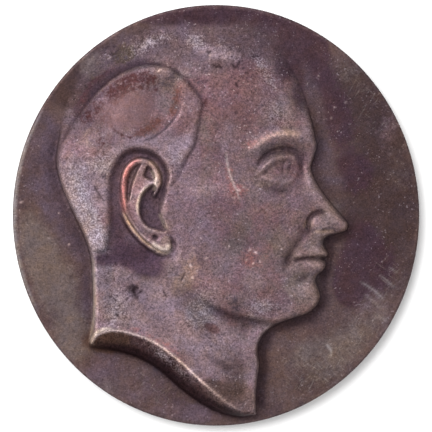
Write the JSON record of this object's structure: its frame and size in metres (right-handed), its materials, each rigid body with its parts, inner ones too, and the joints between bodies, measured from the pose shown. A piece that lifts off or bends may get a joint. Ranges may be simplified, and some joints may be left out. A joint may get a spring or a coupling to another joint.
{
  "type": "commemorative medal",
  "caption": "Slightly oval cast bronze table medal with a plain back and a raised bust in profile, cut off at the neck.",
  "frame": {"origin": "middle of the plain back, where the medal rests on a table", "axes": "+Z out of the relief, +Y to the top of the head, +X to the side the face looks to"},
  "size_m": [0.0966, 0.1, 0.0109],
  "materials": {
    "bronze": "cast bronze with a brown-purple patina, rubbed bright on its high edges, satin"
  },
  "bodies": {
    "root": {"medal": "bronze"}
  },
  "joints": []
}
